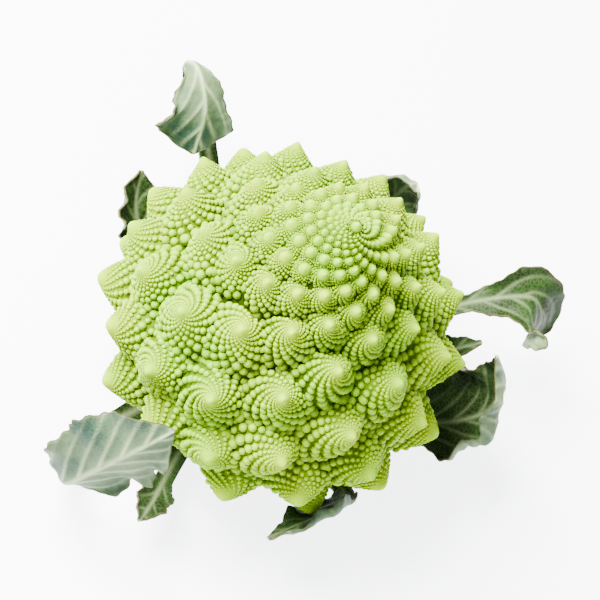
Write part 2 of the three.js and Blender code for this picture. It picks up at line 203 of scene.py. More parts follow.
class Shader:
    """A material's node tree with short calls for the nodes that the finishes share."""

    def __init__(self, name: str) -> None:
        """Starts a material with a Principled shader.

        Args:
            name: The material's name.
        """
        self.material = bpy.data.materials.new(name)
        self.material.use_nodes = True
        self.tree = self.material.node_tree
        self.surface = self.tree.nodes["Principled BSDF"]

    def node(self, kind: str, **settings: object) -> bpy.types.Node:
        """Adds a node.

        Args:
            kind: The node's type name.
            **settings: Its properties by name.

        Returns:
            The node.
        """
        node = self.tree.nodes.new(kind)
        for name, value in settings.items():
            setattr(node, name, value)
        return node

    def link(self, source: bpy.types.NodeSocket, target: bpy.types.NodeSocket) -> None:
        """Links an output to an input."""
        self.tree.links.new(source, target)

    def set(self, values: dict[str, float | tuple[float, ...]]) -> None:
        """Sets inputs of the surface by their names."""
        for name, value in values.items():
            self.surface.inputs[name].default_value = value

    def value(self, name: str) -> bpy.types.NodeSocket:
        """Reads a per-vertex value of the mesh."""
        return self.node("ShaderNodeAttribute", attribute_name=name).outputs["Fac"]

    def pattern(self, kind: str, scale: float, **settings: object) -> bpy.types.Node:
        """Adds a pattern node in object space.

        Args:
            kind: The node's type name.
            scale: Cells in a metre.
            **settings: Its properties by name.

        Returns:
            The node.
        """
        node = self.node(kind, **settings)
        self.link(self.node("ShaderNodeTexCoord").outputs["Object"], node.inputs["Vector"])
        node.inputs["Scale"].default_value = scale
        return node

    def noise(self, scale: float, detail: float = 3.0) -> bpy.types.NodeSocket:
        """Adds noise in object space.

        Args:
            scale: Cells in a metre.
            detail: Octaves.

        Returns:
            The noise, around 0.5.
        """
        noise = self.pattern("ShaderNodeTexNoise", scale)
        noise.inputs["Detail"].default_value = detail
        return noise.outputs["Fac"]

    def cells(self, scale: float, feature: str) -> bpy.types.NodeSocket:
        """Adds Voronoi cells in object space.

        Args:
            scale: Cells in a metre.
            feature: The Voronoi feature to read.

        Returns:
            The distance.
        """
        return self.pattern("ShaderNodeTexVoronoi", scale, feature=feature).outputs["Distance"]

    def ramp(
        self, factor: bpy.types.NodeSocket, stops: dict[float, Colour]
    ) -> bpy.types.NodeSocket:
        """Turns a factor into a colour.

        Args:
            factor: The factor.
            stops: Colour by place along the ramp.

        Returns:
            The colour.
        """
        ramp = self.node("ShaderNodeValToRGB")
        elements = ramp.color_ramp.elements
        for _ in range(len(stops) - len(elements)):
            elements.new(1.0)
        for element, (place, colour) in zip(elements, sorted(stops.items())):
            element.position = place
            element.color = (*colour, 1.0)
        self.link(factor, ramp.inputs["Fac"])
        return ramp.outputs["Color"]

    def blend(
        self,
        factor: bpy.types.NodeSocket | float,
        first: bpy.types.NodeSocket | Colour,
        second: bpy.types.NodeSocket | Colour,
        mode: str = "MIX",
    ) -> bpy.types.NodeSocket:
        """Blends two colours.

        Args:
            factor: Share of the second colour.
            first: The first colour.
            second: The second colour.
            mode: Blend mode.

        Returns:
            The blended colour.
        """
        node = self.node("ShaderNodeMix", data_type="RGBA", blend_type=mode)
        for number, value in ((0, factor), (6, first), (7, second)):
            socket = node.inputs[number]
            if isinstance(value, bpy.types.NodeSocket):
                self.link(value, socket)
            elif isinstance(value, tuple):
                socket.default_value = (*value, 1.0)
            else:
                socket.default_value = value
        return node.outputs[2]

    def span(
        self, value: bpy.types.NodeSocket, low: float, high: float, start: float, end: float
    ) -> bpy.types.NodeSocket:
        """Maps a range of values onto another, clamped.

        Args:
            value: The value.
            low: Low end of the range that is read.
            high: High end of it.
            start: What low becomes.
            end: What high becomes.

        Returns:
            The mapped value.
        """
        node = self.node("ShaderNodeMapRange")
        self.link(value, node.inputs["Value"])
        ends = {"From Min": low, "From Max": high, "To Min": start, "To Max": end}
        for name, number in ends.items():
            node.inputs[name].default_value = number
        return node.outputs["Result"]

    def bump(self, height: bpy.types.NodeSocket, depth: float, strength: float) -> None:
        """Raises the surface by a height.

        Args:
            height: The height, 0 to 1.
            depth: What 1 stands for, in metres.
            strength: Share of the effect.
        """
        node = self.node("ShaderNodeBump")
        self.link(height, node.inputs["Height"])
        node.inputs["Distance"].default_value = depth
        node.inputs["Strength"].default_value = strength
        previous = self.surface.inputs["Normal"].links
        if previous:
            self.link(previous[0].from_socket, node.inputs["Normal"])
        self.link(node.outputs["Normal"], self.surface.inputs["Normal"])


@dataclass(frozen=True)
class CurdFinish:
    """Finish of the florets: lime beads, paler towards the tips, with painted shade in the gaps
    and a painted highlight on the bead crests.
    """

    # The gap colour is painted shade; the crest colour is the beads' lime with a painted
    # highlight.
    gap: Colour = (0.028, 0.055, 0.0)
    side: Colour = (0.09, 0.175, 0.0)
    crest_with_highlight: Colour = (0.19, 0.325, 0.0)
    tip: Colour = (0.225, 0.35, 0.0)
    # The valley colour is painted shade low on each floret, down between the florets.
    cool: Colour = (0.66, 0.96, 1.0)
    painted_valley_shade: Colour = (0.5, 0.53, 0.45)
    roughness: float = 0.5
    gloss: float = 0.06
    subsurface: float = 0.06
    scatter: Colour = (0.9, 1.0, 0.3)
    scatter_scale: float = 0.002
    patch_scale: float = 22.0
    speckle_scale: float = 900.0
    grain_scale: float = 1100.0
    grain_depth: float = 0.0004
    grain_strength: float = 0.5

    def material(self) -> bpy.types.Material:
        """Makes the material from the beads' heights, which paint shade in the gaps and a
        highlight on the crests.

        Returns:
            The material.
        """
        shader = Shader("curd")
        # Painted shade and highlight: the bead value darkens the gaps and lightens the crests.
        beads = shader.ramp(shader.value("bead"), {0.0: self.gap, 0.5: self.side, 1.0: self.crest_with_highlight})
        paler = shader.span(shader.value("rise"), 0.45, 1.0, 0.0, 0.75)
        paled = shader.blend(paler, beads, self.tip)
        patches = shader.span(shader.noise(self.patch_scale, 2.0), 0.42, 0.66, 0.0, 0.55)
        colour = shader.blend(patches, paled, shader.blend(1.0, paled, self.cool, "MULTIPLY"))
        speckle = shader.span(shader.noise(self.speckle_scale, 2.0), 0.3, 0.7, 0.92, 1.06)
        speckled = shader.blend(1.0, colour, speckle, "MULTIPLY")
        # Painted shade: darker low on each floret, where it sits down between its neighbours.
        depth = shader.span(shader.value("rise"), 0.0, 0.4, 1.0, 0.0)
        cavity_shade = shader.blend(depth, (1.0, 1.0, 1.0), self.painted_valley_shade)
        shaded = shader.blend(1.0, speckled, cavity_shade, "MULTIPLY")
        shader.link(shaded, shader.surface.inputs["Base Color"])
        glossy = shader.span(shader.value("bead"), 0.5, 1.0, 0.0, self.gloss)
        shader.link(glossy, shader.surface.inputs["Specular IOR Level"])
        shader.set({
            "Roughness": self.roughness,
            "Subsurface Weight": self.subsurface,
            "Subsurface Radius": self.scatter,
            "Subsurface Scale": self.scatter_scale,
        })
        grain = shader.cells(self.grain_scale, "SMOOTH_F1")
        shader.bump(grain, self.grain_depth, self.grain_strength)
        return shader.material


@dataclass(frozen=True)
class LeafFinish:
    """Finish of a leaf: waxy, dark above and pale grey green below, with whitish veins."""

    above: Colour = (0.0035, 0.011, 0.0006)
    above_light: Colour = (0.009, 0.026, 0.004)
    below: Colour = (0.085, 0.125, 0.06)
    below_deep: Colour = (0.013, 0.038, 0.025)
    vein: Colour = (0.26, 0.33, 0.17)
    edge: Colour = (0.05, 0.035, 0.012)
    roughness: float = 0.5
    gloss: float = 0.07
    subsurface: float = 0.05
    scatter_scale: float = 0.001
    patch_scale: float = 60.0
    bloom_scale: float = 34.0
    net_scale: float = 520.0
    net_depth: float = 0.0003
    net_strength: float = 0.3

    def material(self) -> bpy.types.Material:
        """Makes the material from the leaf's own side, vein and margin values.

        Returns:
            The material.
        """
        shader = Shader("leaf")
        patches = shader.span(shader.noise(self.patch_scale, 4.0), 0.38, 0.62, 0.0, 1.0)
        bloom = shader.span(shader.noise(self.bloom_scale, 5.0), 0.36, 0.62, 0.0, 1.0)
        above = shader.blend(patches, self.above, self.above_light)
        below = shader.blend(bloom, self.below_deep, self.below)
        sides = shader.blend(shader.value("upper"), below, above)
        net = shader.cells(self.net_scale, "DISTANCE_TO_EDGE")
        netted = shader.blend(shader.span(net, 0.0, 0.1, 0.07, 0.0), sides, self.vein)
        veined = shader.blend(shader.value("vein"), netted, self.vein)
        edged = shader.blend(shader.value("edge"), veined, self.edge)
        shader.link(edged, shader.surface.inputs["Base Color"])
        shader.set({
            "Roughness": self.roughness,
            "Specular IOR Level": self.gloss,
            "Subsurface Weight": self.subsurface,
            "Subsurface Scale": self.scatter_scale,
        })
        shader.bump(net, self.net_depth, self.net_strength)
        shader.bump(shader.noise(220.0, 4.0), 0.0005, 0.35)
        shader.bump(shader.noise(75.0, 3.0), 0.004, 0.5)
        return shader.material


@dataclass(frozen=True)
class StemFinish:
    """Finish of the stump and of the underside: pale green skin, whitish where it was cut."""

    skin: Colour = (0.12, 0.18, 0.035)
    skin_pale: Colour = (0.2, 0.26, 0.08)
    cut: Colour = (0.34, 0.36, 0.18)
    roughness: float = 0.55
    subsurface: float = 0.1
    scatter_scale: float = 0.003
    streak_scale: float = 130.0
    grain_scale: float = 400.0

    def material(self) -> bpy.types.Material:
        """Makes the material; the value cut is 1 on the cut face.

        Returns:
            The material.
        """
        shader = Shader("stem")
        streaks = shader.span(shader.noise(self.streak_scale, 4.0), 0.35, 0.65, 0.0, 1.0)
        skin = shader.blend(streaks, self.skin, self.skin_pale)
        colour = shader.blend(shader.value("cut"), skin, self.cut)
        shader.link(colour, shader.surface.inputs["Base Color"])
        shader.set({
            "Roughness": self.roughness,
            "Subsurface Weight": self.subsurface,
            "Subsurface Scale": self.scatter_scale,
        })
        shader.bump(shader.noise(self.grain_scale), 0.0004, 0.4)
        return shader.material


@dataclass
class Crown:
    """The surface of revolution that the floret tips lie on, in metres along its flank."""

    apex_height: float = 0.165
    top_slope: float = math.radians(38)
    rim_slope: float = math.radians(104)
    rim_distance: float = 0.155
    shoulder_power: float = 2.6
    step: float = 0.0005
    summed_share: float = 1.3
    offset: float = 0.007
    offset_azimuth: float = math.radians(47)
    offset_distance: float = 0.08
    lean: float = math.radians(12)

    def __post_init__(self) -> None:
        """Sums the flank's radius and drop in small steps."""
        count = int(self.summed_share * self.rim_distance / self.step)
        middles = (np.arange(count) + 0.5) * self.step
        slopes = self.slope(middles)
        self.distances = np.arange(count + 1) * self.step
        self.radii = np.concatenate([[0.0], np.cumsum(np.cos(slopes) * self.step)])
        self.drops = np.concatenate([[0.0], np.cumsum(np.sin(slopes) * self.step)])

    def slope(self, distance: Values) -> Values:
        """Slope of the flank at a distance from the apex."""
        share = (distance / self.rim_distance) ** self.shoulder_power
        return self.top_slope + (self.rim_slope - self.top_slope) * share

    def radius(self, distance: float) -> float:
        """Radius of the flank at a distance from the apex."""
        return float(np.interp(distance, self.distances, self.radii))

    def tip(self, distance: float, azimuth: float) -> np.ndarray:
        """The point of the surface at a distance from the apex and an azimuth."""
        return self.below(distance, np.array([azimuth]), 0.0)[0]

    def below(self, distance: float, azimuth: np.ndarray, depth: float) -> np.ndarray:
        """Points at a depth below the surface along the florets' axes, one for each azimuth.

        Args:
            distance: Distance from the apex along the flank.
            azimuth: Azimuths, in radians.
            depth: Depth below the surface.

        Returns:
            One point in each row.
        """
        slope = self.slope(distance) - self.lean
        drop = float(np.interp(distance, self.distances, self.drops))
        shift = self.offset * smoothstep(distance, 0.0, self.offset_distance)
        reach = self.radius(distance) - depth * math.sin(slope)
        return np.stack([
            reach * np.cos(azimuth) + shift * math.cos(self.offset_azimuth),
            reach * np.sin(azimuth) + shift * math.sin(self.offset_azimuth),
            np.full(len(azimuth), self.apex_height - drop - depth * math.cos(slope)),
        ], axis=1)

    def axis(self, distance: float, azimuth: float) -> np.ndarray:
        """The outward direction of a floret there.

        Args:
            distance: Distance from the apex along the flank.
            azimuth: Azimuth, in radians.

        Returns:
            The direction.
        """
        slope = self.slope(distance) - self.lean
        return np.array([
            math.sin(slope) * math.cos(azimuth),
            math.sin(slope) * math.sin(azimuth),
            math.cos(slope),
        ])


@dataclass
class Floret:
    """One floret: where its tip is, which way it points and how wide its cell is."""

    number: int
    tip: np.ndarray
    axis: np.ndarray
    spacing: float
    distance: float
    azimuth: float


@dataclass
class FloretSpiral:
    """The golden-angle spiral that places the florets on the crown."""

    crown: Crown
    innermost: float = 0.005
    last: float = 0.165
    front_distance: float = 0.0818
    front_azimuth: float = math.radians(-70.4)
    spacing_share: float = 0.269
    spacing_gain: float = 2.2
    widest: float = 0.034
    middle_spacing: float = 0.0065

    def spacing(self, distance: float) -> float:
        """Distance between neighbouring florets."""
        return min(distance * (self.spacing_share + self.spacing_gain * distance), self.widest)

    def rise(self, distance: float) -> float:
        """Distance along the flank from one floret to the next."""
        area = CELL_AREA_SHARE * self.spacing(distance) ** 2
        return area / (2 * math.pi * self.crown.radius(distance))

    def florets(self) -> list[Floret]:
        """Places the youngest floret at the apex and the others from there to the rim.

        Returns:
            The florets.
        """
        inwards = [self.front_distance]
        while inwards[-1] - self.rise(inwards[-1]) >= self.innermost:
            inwards.append(inwards[-1] - self.rise(inwards[-1]))
        outwards = [self.front_distance + self.rise(self.front_distance)]
        while outwards[-1] <= self.last:
            outwards.append(outwards[-1] + self.rise(outwards[-1]))
        distances = inwards[::-1] + outwards
        first = 1 - len(inwards)
        upright = np.array([0.0, 0.0, 1.0])
        placed = [Floret(0, self.crown.tip(0.0, 0.0), upright, self.middle_spacing, 0.0, 0.0)]
        for i, distance in enumerate(distances):
            azimuth = self.front_azimuth - (first + i) * GOLDEN_ANGLE
            placed.append(Floret(
                i + 1,
                self.crown.tip(distance, azimuth),
                self.crown.axis(distance, azimuth),
                self.spacing(distance),
                distance,
                azimuth,
            ))
        return placed


class BeadShape(Enum):
    """How finely a bead is cut: sides, radius and height of its rings from the foot, and top."""

    FINE = (6, ((1.0, -0.3), (0.72, 0.5)), 0.8)
    SMALL = (8, ((0.95, -0.4), (0.82, 0.42)), 0.86)
    LARGE = (10, ((0.8, -0.5), (1.0, 0.02), (0.72, 0.62)), 0.94)

    def template(self) -> tuple[np.ndarray, np.ndarray]:
        """Makes the bead once, with radius and height near one.

        Returns:
            Its points and its triangles.
        """
        sides, rings, top = self.value
        points = [
            (radius * math.cos(angle), radius * math.sin(angle), height)
            for ring, (radius, height) in enumerate(rings)
            for angle in round_angles(sides) + RING_TURN * ring
        ]
        points += [(0.0, 0.0, rings[0][1]), (0.0, 0.0, top)]
        return np.array(points), closed_tube(len(rings), sides)


@dataclass
class Beads:
    """Beads of a floret: places, directions, widths, heights and how far they run into ribs."""

    places: np.ndarray
    normals: np.ndarray
    alongs: np.ndarray
    sizes: np.ndarray
    rises: np.ndarray
    ribbed: np.ndarray

    def chosen(self, which: np.ndarray) -> "Beads":
        """The beads that are marked true."""
        return Beads(*(getattr(self, item.name)[which] for item in fields(self)))


@dataclass
class Head:
    """The head: a core cone in each floret's cell and beads in spirals all over it."""

    spiral: FloretSpiral
    finish: CurdFinish
    cone_depth: float = 0.92
    pit_depth: float = 0.8
    pit_radius: float = 0.6
    bluntness: float = 0.07
    rim_bluntness: float = 0.35
    rim: tuple[float, float] = (0.11, 0.15)
    young_bluntness: float = 0.7
    young_spacing: float = 0.005
    grown_spacing: float = 0.017
    core_inset: float = 0.035
    bead_share: float = 0.232
    widest_bead: float = 0.0048
    finest_bead: float = 0.0009
    finest_share: float = 0.03
    young_finest_share: float = 0.12
    least_slant: float = 0.8
    smooth_length: float = 0.0037
    most_smooth: float = 0.6
    bead_scatter: float = 0.12
    floret_scatter: float = 0.07
    tilt_scatter: float = 0.08
    tilted: tuple[float, float] = (0.02, 0.06)
    bead_radius: float = 0.5
    bead_lean: float = 0.45
    bead_foot: float = 0.45
    bead_span: float = 1.3
    large_bead: float = 0.0024
    small_bead: float = 0.0014
    rib_turn: tuple[float, float] = (math.radians(-0.1), math.radians(0.2))
    rib_start: float = 0.12
    rib_end: float = 0.24
    rib_stretch: float = 0.3
    rib_height: float = 0.65
    rib_lightness: float = 0.45
    buried: float = 0.3
    neighbour_reach: float = 1.3
    core_sides: int = 16
    core_rings: tuple[float, ...] = (0.01, 0.04, 0.1, 0.2, 0.33, 0.5, 0.7, 0.96)
    # Tones of painted shade on the cores, from their feet to their bare tips.
    core_shade_tones: tuple[float, float] = (0.05, 0.85)
    bared: tuple[float, float] = (1.1, 0.6)
    kernel_depth: float = 0.62
    kernel_sides: int = 72
    kernel_rings: int = 60
    top_distance: float = 0.045
    sectors: int = 5
    seed: int = 7

    def cone_radius(self, floret: Floret, depth: np.ndarray) -> np.ndarray:
        """Radius of a floret's core at a depth below its tip.

        Args:
            floret: The floret.
            depth: The depth.

        Returns:
            The radius.
        """
        share = np.clip(depth / (self.pit_depth * floret.spacing), 0.0, None)
        grown = smoothstep(floret.spacing, self.young_spacing, self.grown_spacing)
        old = mix(self.bluntness, self.rim_bluntness, smoothstep(floret.distance, *self.rim))
        blunt = mix(self.young_bluntness, old, grown)
        widening = np.sqrt(share * (share + 2 * blunt) / (1 + 2 * blunt))
        return self.pit_radius * floret.spacing * widening

    def smooth_share(self, floret: Floret) -> float:
        """Share of a floret's flank, from its tip, that has no beads yet."""
        flank = floret.spacing * math.hypot(self.cone_depth, self.pit_radius)
        return min(self.most_smooth, self.smooth_length / flank)

    def core_top(self, floret: Floret) -> np.ndarray:
        """The point a little below a floret's tip that its core starts from."""
        return floret.tip - floret.axis * self.core_inset * floret.spacing

    def outwards(self, floret: Floret, angles: np.ndarray) -> np.ndarray:
        """Directions across a floret's axis, one for each angle round it.

        Args:
            floret: The floret.
            angles: Angles from the uphill side.

        Returns:
            One direction in each row.
        """
        side = np.array([math.sin(floret.azimuth), -math.cos(floret.azimuth), 0.0])
        uphill = unit(np.cross(floret.axis, side))
        aside = np.cross(floret.axis, uphill)
        return np.cos(angles)[:, None] * uphill + np.sin(angles)[:, None] * aside

    def scattered(self, florets: list[Floret], draw: np.random.Generator) -> list[Floret]:
        """Makes the florets a little unlike each other in size and direction.

        Args:
            florets: The regular florets.
            draw: The seeded random numbers.

        Returns:
            The florets as they grew.
        """
        grown = []
        for floret in florets:
            tilt = draw.normal(0.0, self.tilt_scatter, 3)
            axis = unit(floret.axis + tilt * smoothstep(floret.distance, *self.tilted))
            size = 1.0 + draw.normal(0.0, self.floret_scatter)
            grown.append(replace(floret, axis=axis, spacing=floret.spacing * size))
        return grown

    def beads_of(self, floret: Floret, draw: np.random.Generator) -> Beads:
        """Places the beads of one floret on its core from the foot to the tip.

        Args:
            floret: The floret.
            draw: The seeded random numbers.

        Returns:
            The beads.
        """
        half_angle = math.atan2(self.pit_radius, self.pit_depth)
        young_finest = min(self.finest_bead, self.young_finest_share * floret.spacing)
        finest = max(self.finest_share * floret.spacing, young_finest)
        whole = self.cone_depth * floret.spacing / math.cos(half_angle)
        smooth = max(self.least_slant * finest, whole * self.smooth_share(floret))
        slant, slants, sizes = whole, [], []
        while slant > smooth:
            size = min(max(self.bead_share * slant, finest), self.widest_bead)
            slants.append(slant)
            sizes.append(size)
            slant -= CELL_AREA_SHARE * size * size / (2 * math.pi * slant * math.sin(half_angle))
        sizes, slants = np.array(sizes), np.array(slants)
        numbers = np.arange(len(sizes))
        depths = slants * math.cos(half_angle)
        turn = GOLDEN_ANGLE + draw.uniform(*self.rib_turn)
        angles = draw.uniform(0, 2 * math.pi) + numbers * turn
        outward = self.outwards(floret, angles)
        radii = self.cone_radius(floret, depths)
        places = self.core_top(floret) - depths[:, None] * floret.axis + radii[:, None] * outward
        upward = math.sin(half_angle) + self.bead_lean
        normals = unit(outward * math.cos(half_angle) + floret.axis * upward)
        next_on_rib = np.minimum(numbers + RIB_COUNT, len(sizes) - 1)
        alongs = places[next_on_rib] - places
        alongs[-RIB_COUNT:] = floret.axis - outward[-RIB_COUNT:]
        rises = 1.0 - slants / whole
        ribbed = 1.0 - smoothstep(1.0 - rises, self.rib_start, self.rib_end)
        loose = 1.0 + self.bead_scatter * draw.normal(0.0, 1.0, len(sizes)) * (1.0 - ribbed)
        return Beads(places, normals, unit(alongs), sizes * loose, rises, ribbed)

    def is_buried(self, beads: Beads, floret: Floret, others: list[Floret]) -> np.ndarray:
        """Tells which beads of a floret lie inside another floret's core.

        Args:
            beads: The floret's beads.
            floret: The floret that they belong to.
            others: All florets.

        Returns:
            True for each buried bead.
        """
        buried = np.zeros(len(beads.sizes), bool)
        for other in others:
            reach = self.neighbour_reach * (floret.spacing + other.spacing)
            if other.number == floret.number or np.linalg.norm(other.tip - floret.tip) > reach:
                continue
            offsets = beads.places - self.core_top(other)
            depths = -(offsets @ other.axis)
            radii = np.linalg.norm(offsets + depths[:, None] * other.axis, axis=1)
            limits = self.cone_radius(other, depths) - self.buried * beads.sizes
            buried |= (depths > 0) & (radii < limits)
        return buried

    def add_beads(self, parts: MeshParts, beads: Beads) -> None:
        """Adds beads to a mesh, each cut as finely as its size needs.

        Args:
            parts: The mesh that they go into.
            beads: The beads.
        """
        fine = beads.sizes < self.small_bead
        large = beads.sizes >= self.large_bead
        for shape, which in (
            (BeadShape.FINE, fine),
            (BeadShape.SMALL, ~fine & ~large),
            (BeadShape.LARGE, large),
        ):
            chosen = beads.chosen(which)
            count = len(chosen.sizes)
            if count == 0:
                continue
            template, triangles = shape.template()
            across = unit(np.cross(chosen.normals, chosen.alongs))
            stretch = 1.0 + self.rib_stretch * chosen.ribbed
            along = np.cross(across, chosen.normals) * stretch[:, None]
            height = chosen.normals * mix(1.0, self.rib_height, chosen.ribbed)[:, None]
            axes = np.stack([across, along, height], axis=1)
            scaled = template[None] * (self.bead_radius * chosen.sizes)[:, None, None]
            points = chosen.places[:, None] + scaled @ axes
            faces = triangles[None] + (np.arange(count) * len(template))[:, None, None]
            # Painted shade and highlight: the bead value is low at each bead's foot and high at
            # its top; rib beads are lifted toward the top value.
            heights = np.clip((template[:, 2] + self.bead_foot) / self.bead_span, 0.0, 1.0)
            lifted = mix(heights[None], 1.0, self.rib_lightness * chosen.ribbed[:, None])
            parts.add(points, faces, bead=lifted, rise=np.repeat(chosen.rises, len(template)))

    def add_core(self, parts: MeshParts, floret: Floret) -> None:
        """Adds a floret's core cone, closed at its foot.

        Args:
            parts: The mesh that it goes into.
            floret: The floret.
        """
        depths = np.array(self.core_rings[::-1]) * floret.spacing
        outward = self.outwards(floret, round_angles(self.core_sides))
        start = self.core_top(floret)
        middles = start - depths[:, None] * floret.axis
        rings = middles[:, None] + self.cone_radius(floret, depths)[:, None, None] * outward
        points = np.concatenate([*rings, [middles[0], start]])
        depth_shares = (floret.tip - points) @ floret.axis / (self.cone_depth * floret.spacing)
        rises = np.clip(1.0 - depth_shares, 0.0, 1.0)
        smooth = self.smooth_share(floret)
        low, high = (1.0 - share * smooth for share in self.bared)
        # Painted shade: the core is dark down between the beads and lighter where its tip is bare.
        tones = mix(*self.core_shade_tones, smoothstep(rises, low, high))
        parts.add(points, closed_tube(len(rings), self.core_sides), bead=tones, rise=rises)

    def add_kernel(self, parts: MeshParts) -> None:
        """Adds the closed body that the florets grow from.

        Args:
            parts: The mesh that it goes into.
        """
        angles = round_angles(self.kernel_sides)
        spiral = self.spiral
        rings = [
            spiral.crown.below(distance, angles, self.kernel_depth * spiral.spacing(distance))
            for distance in np.linspace(spiral.last, spiral.innermost, self.kernel_rings)
        ]
        foot = np.array([0.0, 0.0, rings[0][0, 2]])
        top = spiral.crown.tip(0.0, 0.0) - np.array([0.0, 0.0, 0.5 * spiral.innermost])
        points = np.concatenate([*rings, [foot, top]])
        # Painted shade: the kernel takes the darkest gap colour, as it lies in shade under the
        # florets.
        dark = np.zeros(len(points))
        parts.add(points, closed_tube(len(rings), self.kernel_sides), bead=dark, rise=dark)

    def piece_of(self, floret: Floret) -> str:
        """Name of the piece that a floret belongs to.

        Args:
            floret: The floret.

        Returns:
            The name.
        """
        if floret.distance < self.top_distance:
            return "head_top"
        turn = (floret.azimuth / (2 * math.pi)) % 1.0
        return f"head_flank_{1 + int(turn * self.sectors)}"

    def build(self) -> None:
        """Builds the head in a few pieces that all stand for the one node."""
        draw = np.random.default_rng(self.seed)
        florets = self.scattered(self.spiral.florets(), draw)
        pieces: dict[str, MeshParts] = {"head_kernel": MeshParts()}
        self.add_kernel(pieces["head_kernel"])
        for floret in florets:
            parts = pieces.setdefault(self.piece_of(floret), MeshParts())
            self.add_core(parts, floret)
            beads = self.beads_of(floret, draw)
            self.add_beads(parts, beads.chosen(~self.is_buried(beads, floret, florets)))
        material = self.finish.material()
        for name, parts in sorted(pieces.items()):
            place_piece(parts.make_object(name), "head", material)
        LOG.info("head: %d florets", len(florets))


@dataclass
class LeafShape:
    """One wrapper leaf: its midrib as azimuth, reach and height, and how its blade curls."""

    node: str
    midrib: tuple[tuple[float, float, float], ...]
    petiole: float
    width: float
    fullest: float
    lean: float
    cup: float
    wave: float
    waves: float
    phase: float
    rolls: tuple[float, float]


LEAVES = (
    LeafShape(
        "leaf_front_left",
        ((-112, 20, 10), (-111, 55, 10), (-107, 90, 15), (-101, 104, 28), (-98, 101, 48),
         (-94, 92, 69), (-90, 82, 85)),
        0.54, 46, 0.5, 0.0, 0.22, 0.16, 2.5, 0.4, (-15, -75),
    ),
    LeafShape(
        "leaf_front_small",
        ((-80, 20, 9), (-80, 55, 9), (-80, 78, 15), (-81, 94, 26)),
        0.55, 15, 0.4, 0.0, 0.3, 0.1, 1.5, 2.0, (25, 40),
    ),
    LeafShape(
        "leaf_front_right",
        ((-8, 20, 10), (-8, 50, 10), (-9, 73, 18), (-21, 79, 31), (-35, 82, 36), (-46, 87, 34)),
        0.38, 21, 0.6, 0.0, 0.1, 0.22, 2.5, 1.0, (20, 130),
    ),
    LeafShape(
        "leaf_right_low",
        ((27, 20, 10), (27, 60, 11), (28, 96, 20), (30, 113, 38), (33, 112, 56), (36, 103, 69)),
        0.42, 46, 0.4, 0.0, 0.3, 0.16, 2.0, 2.5, (105, 45),
    ),
    LeafShape(
        "leaf_right_small",
        ((43, 20, 19), (44, 55, 20), (45, 84, 29), (44, 105, 52)),
        0.6, 14, 0.4, 0.0, 0.3, 0.1, 1.5, 0.0, (30, 30),
    ),
    LeafShape(
        "leaf_right",
        ((63, 20, 9), (62, 60, 12), (58, 100, 32), (56, 121, 45), (54, 138, 49), (51, 144, 41),
         (48, 140, 27)),
        0.5, 38, 0.75, -0.2, 0.2, 0.16, 2.5, 0.5, (70, 40),
    ),
    LeafShape(
        "leaf_back_right",
        ((93, 20, 10), (91, 60, 12), (88, 94, 26), (88, 108, 42), (87, 106, 60), (84, 96, 72)),
        0.48, 26, 0.45, 0.0, 0.3, 0.14, 2.0, 1.5, (60, 80),
    ),
    LeafShape(
        "leaf_back_left",
        ((134, 20, 10), (134, 60, 12), (137, 102, 27), (142, 122, 45), (144, 127, 56),
         (144, 121, 64), (143, 107, 57), (144, 94, 37)),
        0.58, 36, 0.8, 0.2, 0.2, 0.16, 2.5, 0.8, (-60, -70),
    ),
    LeafShape(
        "leaf_left_small",
        ((168, 20, 10), (168, 58, 12), (164, 82, 23), (160, 93, 34)),
        0.5, 26, 0.45, 0.0, 0.3, 0.25, 2.5, 0.0, (70, 70),
    ),
)


@dataclass
class RibCurve:
    """A smooth curve through the midrib's points, evenly paced along its length."""

    points: np.ndarray
    samples: int = 60

    def __post_init__(self) -> None:
        """Samples a centripetal Catmull-Rom curve and measures it."""
        ends = np.concatenate([[2 * self.points[0] - self.points[1]], self.points,
                               [2 * self.points[-1] - self.points[-2]]])
        pieces = []
        for p0, p1, p2, p3 in zip(ends, ends[1:], ends[2:], ends[3:]):
            t1 = np.linalg.norm(p1 - p0) ** 0.5
            t2 = t1 + np.linalg.norm(p2 - p1) ** 0.5
            t3 = t2 + np.linalg.norm(p3 - p2) ** 0.5
            t = np.linspace(t1, t2, self.samples, endpoint=False)[:, None]
            a1 = (t1 - t) / t1 * p0 + t / t1 * p1
            a2 = (t2 - t) / (t2 - t1) * p1 + (t - t1) / (t2 - t1) * p2
            a3 = (t3 - t) / (t3 - t2) * p2 + (t - t2) / (t3 - t2) * p3
            b1 = (t2 - t) / t2 * a1 + t / t2 * a2
            b2 = (t3 - t) / (t3 - t1) * a2 + (t - t1) / (t3 - t1) * a3
            pieces.append((t2 - t) / (t2 - t1) * b1 + (t - t1) / (t2 - t1) * b2)
        self.line = np.concatenate([*pieces, [self.points[-1]]])
        steps = np.linalg.norm(np.diff(self.line, axis=0), axis=1)
        self.lengths = np.concatenate([[0.0], np.cumsum(steps)])

    @property
    def length(self) -> float:
        """Whole length of the curve."""
        return float(self.lengths[-1])

    def frames(self, alongs: np.ndarray) -> tuple[np.ndarray, np.ndarray, np.ndarray]:
        """Points, upper directions and directions across, carried along the curve without twist.

        Args:
            alongs: Shares of the length.

        Returns:
            Three arrays with one row for each share.
        """
        wanted = alongs * self.length
        points = np.stack([np.interp(wanted, self.lengths, row) for row in self.line.T], axis=1)
        tangents = unit(np.gradient(points, axis=0))
        upper = np.array([0.0, 0.0, 1.0])
        uppers = []
        for tangent in tangents:
            upper = upper - tangent * float(upper @ tangent)
            upper /= np.linalg.norm(upper)
            uppers.append(upper)
        uppers = np.array(uppers)
        return points, uppers, np.cross(uppers, tangents)


